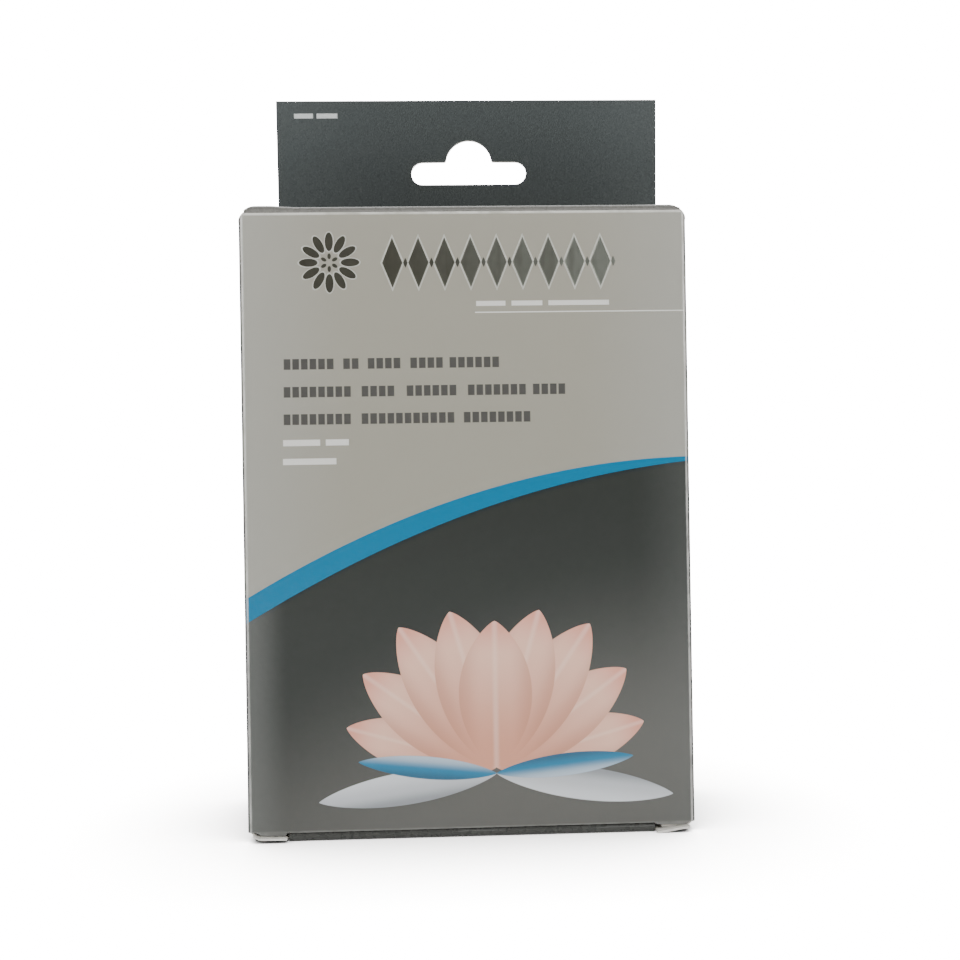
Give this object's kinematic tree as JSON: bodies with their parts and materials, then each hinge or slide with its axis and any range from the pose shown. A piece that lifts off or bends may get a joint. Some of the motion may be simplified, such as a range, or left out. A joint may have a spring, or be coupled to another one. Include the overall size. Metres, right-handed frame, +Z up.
{
  "type": "hang-tab folding carton",
  "caption": "Upright paperboard folding carton with tuck-in top and bottom lids, dust flaps, lock ears and a two-ply hang tab pierced by a Euro slot.",
  "frame": {"origin": "bottom centre of the carton's box, on the underside of the bottom lid", "axes": "+Z up along the carton's height, -Y out of the front panel, +X to the right seen from the front"},
  "size_m": [0.1102, 0.0408, 0.193],
  "materials": {
    "front_print": "printed paperboard with a satin film, warm grey field, blue arc and dark lower field",
    "side_print": "printed paperboard with a satin film, plain warm grey",
    "lid_print": "printed paperboard with a satin film, plain warm grey",
    "base_print": "printed paperboard with a satin film, dark grey, with bare white cut edges",
    "header_print": "printed paperboard with a satin film, charcoal, two plies glued",
    "bare_board": "uncoated white paperboard, slightly fibrous"
  },
  "bodies": {
    "sleeve": {"front_panel": "front_print", "left_side_panel": "side_print", "right_side_panel": "side_print", "inner_back_panel": "bare_board", "outer_back_panel": "side_print", "hang_tab": "header_print"},
    "top_lid": {"top_lid": "lid_print"},
    "top_tuck_flap": {"top_tuck_flap": "lid_print"},
    "top_left_dust_flap": {"top_left_dust_flap": "bare_board"},
    "top_right_dust_flap": {"top_right_dust_flap": "bare_board"},
    "bottom_lid": {"bottom_lid": "base_print"},
    "bottom_tuck_flap": {"bottom_tuck_flap": "base_print"},
    "bottom_left_dust_flap": {"bottom_left_dust_flap": "bare_board"},
    "bottom_right_dust_flap": {"bottom_right_dust_flap": "bare_board"}
  },
  "joints": [
    {"name": "top_lid_crease", "type": "hinge", "parent": "sleeve", "child": "top_lid", "pos_m": [0, -0.01918, 0.1554], "axis": [1, 0, 0], "range_deg": [0, 180]},
    {"name": "top_tuck_crease", "type": "hinge", "parent": "top_lid", "child": "top_tuck_flap", "pos_m": [0, 0.01903, 0.1554], "axis": [1, 0, 0], "range_deg": [0, 45]},
    {"name": "top_left_dust_crease", "type": "hinge", "parent": "sleeve", "child": "top_left_dust_flap", "pos_m": [-0.0551, 0, 0.1546], "axis": [0, -1, 0], "range_deg": [0, 90]},
    {"name": "top_right_dust_crease", "type": "hinge", "parent": "sleeve", "child": "top_right_dust_flap", "pos_m": [0.0551, 0, 0.1546], "axis": [0, 1, 0], "range_deg": [0, 90]},
    {"name": "bottom_lid_crease", "type": "hinge", "parent": "sleeve", "child": "bottom_lid", "pos_m": [0, 0.01982, 0], "axis": [1, 0, 0], "range_deg": [0, 180]},
    {"name": "bottom_tuck_crease", "type": "hinge", "parent": "bottom_lid", "child": "bottom_tuck_flap", "pos_m": [0, -0.01837, 0], "axis": [1, 0, 0], "range_deg": [0, 45]},
    {"name": "bottom_left_dust_crease", "type": "hinge", "parent": "sleeve", "child": "bottom_left_dust_flap", "pos_m": [-0.0551, 0, 0.0008], "axis": [0, 1, 0], "range_deg": [0, 90]},
    {"name": "bottom_right_dust_crease", "type": "hinge", "parent": "sleeve", "child": "bottom_right_dust_flap", "pos_m": [0.0551, 0, 0.0008], "axis": [0, -1, 0], "range_deg": [0, 90]}
  ],
  "couplings": [
    {"joint": "top_tuck_crease", "follows": "top_lid_crease", "ratio": 0.25},
    {"joint": "top_left_dust_crease", "follows": "top_lid_crease", "ratio": 0.5},
    {"joint": "top_right_dust_crease", "follows": "top_lid_crease", "ratio": 0.5},
    {"joint": "bottom_tuck_crease", "follows": "bottom_lid_crease", "ratio": 0.25},
    {"joint": "bottom_left_dust_crease", "follows": "bottom_lid_crease", "ratio": 0.5},
    {"joint": "bottom_right_dust_crease", "follows": "bottom_lid_crease", "ratio": 0.5}
  ]
}
